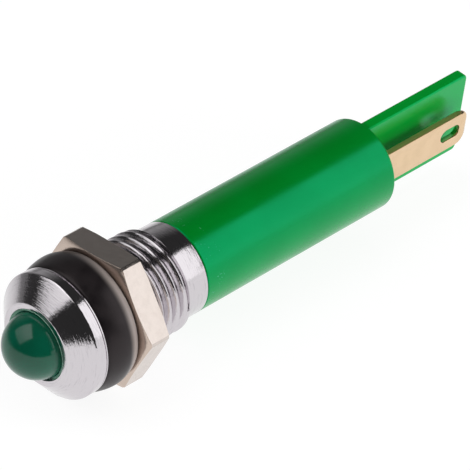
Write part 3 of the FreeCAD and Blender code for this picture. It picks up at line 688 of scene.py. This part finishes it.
bpy.ops.mesh.bevel(offset=0.40 * MM, segments=8, profile=0.5, affect="EDGES")
select_edges(barrier, lambda start, end: (
    start.x * end.x > 0 and max(start.y, end.y) > BARRIER_START + NEAR))
bpy.ops.mesh.bevel(offset=0.16 * MM, segments=5, profile=0.5, affect="EDGES")
cut_with(body, barrier, "UNION")
for side in (1, -1):
    cut_with(body, add_box(
        "tab_slot", (side * TAB_SPREAD / 2, (WALL_INNER + BODY_REAR) / 2, 0),
        (SLOT_THICKNESS, SLOT_LENGTH, SLOT_WIDTH)))
soften_edges(body, "moulded edges", 0.06, 3, 40)
drop_slivers(body)
smooth(body, 40, flat_faces=True)

MOULDING_GREEN = (0.0, 0.255, 0.020)
MOULDING_DEEP = (0.0, 0.235, 0.015)
BARRIER_PAINTED_LIGHT_GREEN = (0.0, 0.360, 0.028)
SCUFFED_GREEN = (0.10, 0.42, 0.24)
SCUFFS_FADE = BODY_FRONT + 1.2
SCUFFS_END = BODY_FRONT + 2.4
green, tree, shader = new_material(
    "green_moulding", 0.24, ior=2.0, Specular_Tint=(0.0, 1.0, 0.62, 1.0))
skin = use_group(tree, skin_grain, Grains_per_mm=16.0, Patches_per_mm=0.25)
base = two_shades(tree, skin, MOULDING_GREEN, MOULDING_DEEP)
across, along, upward = object_place(tree)
# Painted light: the barrier behind the rear wall is painted a lighter green than the body.
barrier_painted_light = spread(tree, along, (BODY_REAR - 0.1) * MM, (BODY_REAR + 0.3) * MM, 0.0, 1.0)
base = blend_colours(tree, barrier_painted_light, base, BARRIER_PAINTED_LIGHT_GREEN)
rubbed = use_group(tree, skin_grain, Grains_per_mm=7.0, Patches_per_mm=1.1)
scuffs = spread(tree, rubbed.outputs["Height"], 0.60, 0.70, 0.0, 1.0)
scuffs = calculate(tree, "MULTIPLY", scuffs, spread(tree, rubbed.outputs["Patches"], 0.52, 0.62, 0.0, 0.8))
scuffs = calculate(tree, "MULTIPLY", scuffs, spread(
    tree, along, SCUFFS_FADE * MM, SCUFFS_END * MM, 1.0, 0.0))
tree.links.new(blend_colours(tree, scuffs, base, SCUFFED_GREEN), shader.inputs["Base Color"])
tree.links.new(spread(tree, skin.outputs["Patches"], 0.3, 0.7, 0.20, 0.27), shader.inputs["Roughness"])
raise_surface(tree, shader, skin.outputs["Height"], 0.0025)
dress(body, "lamp", "body_shell", green)

# Each terminal is a flat tab stamped from 0.5 mm brass, with a wire eye and a rounded tip that is
# pressed thinner. Inside the body it widens to a shoulder, steps in and is soldered to the board.

TAB_TIP = 39.20
TAB_WIDTH = 2.80
TAB_THICKNESS = 0.50
TAB_CORNER = 0.72
TAB_TAPER = 0.30
TIP_THINNED = 0.45
SHOULDER_END = 28.45
SHOULDER_WIDTH = 3.40
STEP_OUTER = 28.15
STEP_INNER = 26.95
TAB_INNER_END = 24.15
BOARD_FACE = 0.40
EYE_PLACE = 37.40
EYE_LENGTH = 2.0
EYE_WIDTH = 1.10
TAPER_START = TAB_TIP - TAB_TAPER

BRASS = (0.83, 0.610, 0.390)
BRASS_DEEP = (0.79, 0.575, 0.36)
SHEARED_BRASS = (0.74, 0.52, 0.25)
SHEARED_ROUGHER = 0.35
brass, tree, shader = new_material("tinned_brass", 0.20, metallic=1.0)
sheet = use_group(tree, skin_grain, Grains_per_mm=8.0, Patches_per_mm=0.7)
rolled = two_shades(tree, sheet, BRASS, BRASS_DEEP)
across, along, upward = object_place(tree)
edge_start = TAB_WIDTH / 2 - 0.03
sheared = spread(
    tree, calculate(tree, "ABSOLUTE", upward), edge_start * MM, (edge_start + 0.02) * MM, 0.0, 1.0)
tree.links.new(blend_colours(tree, sheared, rolled, SHEARED_BRASS), shader.inputs["Base Color"])
satin = spread(tree, sheet.outputs["Height"], 0.3, 0.7, 0.19, 0.26)
rougher = calculate(tree, "MULTIPLY", sheared, SHEARED_ROUGHER)
tree.links.new(calculate(tree, "ADD", satin, rougher), shader.inputs["Roughness"])
raise_surface(tree, shader, sheet.outputs["Height"], 0.003)


def select_faces(piece, test):
    """Select the faces whose normal, and centre in mm, pass a test."""
    take(piece)
    bpy.ops.object.mode_set(mode="EDIT")
    bpy.ops.mesh.select_mode(type="FACE")
    bpy.ops.mesh.select_all(action="DESELECT")
    bpy.ops.object.mode_set(mode="OBJECT")
    for face in piece.data.polygons:
        face.select = test(face.normal, face.center / MM)
    bpy.ops.object.mode_set(mode="EDIT")


for node, side in (("terminal_right", 1), ("terminal_left", -1)):
    middle = side * TAB_SPREAD / 2
    inner = side * (BOARD_FACE + TAB_THICKNESS / 2)
    tab = add_box(
        f"{node}_tab", (middle, (TAPER_START + SHOULDER_END) / 2, 0),
        (TAB_THICKNESS, TAPER_START - SHOULDER_END, TAB_WIDTH))
    select_edges(tab, lambda start, end: (
        min(start.y, end.y) > TAPER_START - NEAR and abs(start.z - end.z) < NEAR))
    bpy.ops.mesh.bevel(offset=TAB_CORNER * MM, segments=4, profile=0.5, affect="EDGES")
    select_faces(tab, lambda normal, centre: normal.y > 0.1)
    bpy.ops.mesh.extrude_region_move(TRANSFORM_OT_translate={"value": (0, TAB_TAPER * MM, 0)})
    bpy.ops.transform.resize(
        value=(TIP_THINNED, 1, 1), center_override=(middle * MM, TAB_TIP * MM, 0))
    clear_selection()
    bpy.ops.mesh.primitive_cylinder_add(
        vertices=48, radius=EYE_WIDTH / 2 * MM, depth=2 * MM,
        location=(middle * MM, EYE_PLACE * MM, 0), rotation=(0, math.pi / 2, 0))
    eye = bpy.context.object
    settle(eye)
    for way in (1, -1):
        select_edges(eye, lambda start, end: min(
            way * (start.y - EYE_PLACE), way * (end.y - EYE_PLACE)) > NEAR)
        bpy.ops.transform.translate(value=(0, way * (EYE_LENGTH - EYE_WIDTH) / 2 * MM, 0))
    cut_with(tab, eye)
    select_faces(tab, lambda normal, centre: normal.y < -0.9 and centre.y < SHOULDER_END + 0.1)
    bpy.ops.mesh.extrude_region_move(TRANSFORM_OT_translate={"value": (0, 0, 0)})
    bpy.ops.transform.resize(
        value=(1, 1, SHOULDER_WIDTH / TAB_WIDTH), center_override=(middle * MM, SHOULDER_END * MM, 0))
    for move in (
            (0, (STEP_OUTER - SHOULDER_END) * MM, 0),
            ((inner - middle) * MM, (STEP_INNER - STEP_OUTER) * MM, 0),
            (0, (TAB_INNER_END - STEP_INNER) * MM, 0)):
        bpy.ops.mesh.extrude_region_move(TRANSFORM_OT_translate={"value": move})
    soften_edges(tab, "sheared edges", 0.045, 2, 30)
    smooth(tab, 50, flat_faces=True)
    dress(tab, "lamp", node, brass)

# The pieces inside the body keep their own solids: spacer, leads, board, parts, solder, resin.
# None of them shows in the closed lamp, and each still wears the finish of what it is made of.


def finish_nodes(names, slot, roughness, first, second, grains, depth, metallic=0.0):
    """One grained material for a group of inner nodes."""
    material, tree, shader = new_material(slot, roughness, metallic=metallic)
    skin = use_group(tree, skin_grain, Grains_per_mm=grains, Patches_per_mm=0.8)
    tree.links.new(two_shades(tree, skin, first, second), shader.inputs["Base Color"])
    raise_surface(tree, shader, skin.outputs["Height"], depth)
    for name in names:
        nodes[name].data.materials.clear()
        nodes[name].data.materials.append(material)


finish_nodes(
    ["led_anode_lead", "led_cathode_lead", "rectifier_diode_leads", "reverse_diode_leads"], "tinned_wire",
    roughness=0.28, metallic=1.0, first=(0.72, 0.72, 0.70), second=(0.62, 0.62, 0.61), grains=10, depth=0.006)
finish_nodes(
    ["led_holder"], "natural_nylon",
    roughness=0.45, first=(0.80, 0.78, 0.70), second=(0.74, 0.72, 0.63), grains=8, depth=0.010)
finish_nodes(
    ["circuit_board"], "board_laminate",
    roughness=0.40, first=(0.020, 0.19, 0.07), second=(0.015, 0.15, 0.055), grains=6, depth=0.015)
finish_nodes(
    ["series_resistor_a", "series_resistor_b"], "resistor_ceramic",
    roughness=0.35, first=(0.030, 0.030, 0.034), second=(0.045, 0.045, 0.05), grains=12, depth=0.006)
finish_nodes(
    ["rectifier_diode", "reverse_diode"], "diode_epoxy",
    roughness=0.45, first=(0.018, 0.018, 0.019), second=(0.028, 0.028, 0.030), grains=14, depth=0.010)
finish_nodes(
    ["series_resistor_a_caps", "series_resistor_b_caps", "solder_anode", "solder_cathode",
     "solder_left_tab", "solder_right_tab"], "solder",
    roughness=0.25, metallic=1.0, first=(0.70, 0.70, 0.71), second=(0.60, 0.60, 0.62), grains=5, depth=0.020)
finish_nodes(
    ["resin_plug"], "potting_resin",
    roughness=0.18, first=(0.016, 0.016, 0.018), second=(0.03, 0.03, 0.032), grains=3, depth=0.020)

# The camera stands where the photograph was taken from.
# The lamp lies on a white table between two soft boxes, in a room that is dark above them.

CAMERA_PLACE = Vector((157.57, -168.87, 204.18)) * MM
CAMERA_RIGHT = Vector((0.6991, 0.7074, 0.1041))
CAMERA_UP = Vector((-0.5155, 0.3977, 0.7590))
CAMERA_BACK = Vector((0.4955, -0.5843, 0.6427))
SENSOR_WIDTH = 36.0
FOCAL_PIXELS = 4500
FRAME_PIXELS = 470
camera_data = bpy.data.cameras.new("camera")
camera_data.sensor_width = SENSOR_WIDTH
camera_data.lens = SENSOR_WIDTH * FOCAL_PIXELS / FRAME_PIXELS
camera_data.clip_start = 0.01
camera_data.clip_end = 20.0
camera = bpy.data.objects.new("camera", camera_data)
bpy.context.scene.collection.objects.link(camera)
turned = Matrix((CAMERA_RIGHT, CAMERA_UP, CAMERA_BACK)).transposed()
camera.matrix_world = Matrix.Translation(CAMERA_PLACE) @ turned.to_4x4()
bpy.context.scene.camera = camera

FLOOR_HEIGHT = -5.40
FLOOR_GREY = (0.16, 0.16, 0.16, 1.0)
FLOOR_SEEN = 0.90
clear_selection()
bpy.ops.mesh.primitive_plane_add(size=6.0, location=(0, 0, FLOOR_HEIGHT * MM))
floor = bpy.context.object
floor.name = "white_table"
settle(floor)
table = bpy.data.materials.new("white_table")
table.use_nodes = True
tree = table.node_tree
tree.nodes.remove(tree.nodes["Principled BSDF"])
matt = add_node(tree, "ShaderNodeBsdfDiffuse")
matt.inputs["Color"].default_value = FLOOR_GREY
glow = add_node(tree, "ShaderNodeEmission")
ray = add_node(tree, "ShaderNodeLightPath")
across, along, upward = object_place(tree)
lit = spread(tree, across, -0.062, -0.004, 0.08, 0.86)
seen = calculate(tree, "MULTIPLY", ray.outputs["Is Camera Ray"], FLOOR_SEEN)
tree.links.new(calculate(tree, "MAXIMUM", lit, seen), glow.inputs["Strength"])
both = add_node(tree, "ShaderNodeAddShader")
tree.links.new(matt.outputs[0], both.inputs[0])
tree.links.new(glow.outputs[0], both.inputs[1])
tree.links.new(both.outputs[0], tree.nodes["Material Output"].inputs["Surface"])
floor.data.materials.append(table)

world = bpy.data.worlds.new("studio")
bpy.context.scene.world = world
world.use_nodes = True
tree = world.node_tree
background = tree.nodes["Background"]
spot = add_node(tree, "ShaderNodeTexCoord")
UP = (0.0, 0.0, 1.0)
REARWARD = (0.0, 1.0, 0.0)
DOWN_AND_LEFT = (-1.0, 0.0, -1.0)
DARKEST = 0.03


def toward(direction):
    """How far the ray's direction goes along another direction."""
    node = add_node(tree, "ShaderNodeVectorMath", operation="DOT_PRODUCT")
    tree.links.new(spot.outputs["Generated"], node.inputs[0])
    node.inputs[1].default_value = Vector(direction).normalized()
    return node.outputs["Value"]


def soft_box(facing, width_way, half_width, half_height, feather, strength):
    """Rectangle of light in a direction, with soft edges."""
    facing = Vector(facing).normalized()
    width_way = (Vector(width_way) - facing * facing.dot(Vector(width_way))).normalized()
    height_way = facing.cross(width_way)
    ahead = toward(facing)
    safe = calculate(tree, "MAXIMUM", ahead, 0.001)
    mask = spread(tree, ahead, 0.0, 0.1, 0.0, strength)
    for way, half in ((width_way, half_width), (height_way, half_height)):
        offset = calculate(tree, "ABSOLUTE", calculate(tree, "DIVIDE", toward(way), safe))
        inside = spread(tree, offset, half - feather, half + feather, 1.0, 0.0)
        mask = calculate(tree, "MULTIPLY", mask, inside)
    return mask


front_box = soft_box(
    facing=(-0.447, -0.532, 0.735), width_way=(0.585, -0.79, 0.19),
    half_width=0.51, half_height=0.47, feather=0.06, strength=1.10)
front_box = calculate(tree, "MULTIPLY", front_box, spread(tree, toward(UP), 0.45, 0.88, 0.82, 1.5))
side_box = soft_box(
    facing=(0.61, 0.55, 0.57), width_way=REARWARD,
    half_width=0.36, half_height=0.52, feather=0.05, strength=1.30)
low_strip = soft_box(
    facing=(0.82, 0.55, 0.09), width_way=REARWARD,
    half_width=0.60, half_height=0.10, feather=0.02, strength=0.97)
wall = spread(tree, toward(DOWN_AND_LEFT), -0.21, 0.75, 0.02, 0.38)
wall = calculate(tree, "MULTIPLY", wall, spread(tree, toward(REARWARD), -0.3, 0.45, 0.12, 1.0))
below = spread(tree, toward(UP), -0.02, 0.0, 0.9, 0.0)
light = front_box
for source in (side_box, low_strip, wall, below, DARKEST):
    light = calculate(tree, "MAXIMUM", light, source)
ray = add_node(tree, "ShaderNodeLightPath")
shown = calculate(tree, "MAXIMUM", light, ray.outputs["Is Camera Ray"])
tree.links.new(shown, background.inputs["Strength"])
background.inputs["Color"].default_value = (1.0, 1.0, 1.0, 1.0)


def soft_lamp(name, place, size, power):
    """Square area lamp that looks at the object. Only its light shows, not its mirror image."""
    data = bpy.data.lights.new(name, "AREA")
    data.size = size
    data.energy = power
    lamp = bpy.data.objects.new(name, data)
    bpy.context.scene.collection.objects.link(lamp)
    lamp.location = place
    lamp.rotation_euler = (-Vector(place)).to_track_quat("-Z", "Y").to_euler()
    lamp.visible_glossy = False
    lamp.visible_camera = False


soft_lamp("overhead_lamp", (0.0, 0.0, 0.6), 0.5, 0.95)
soft_lamp("right_lamp", (0.55, 0.25, 0.12), 0.4, 1.6)
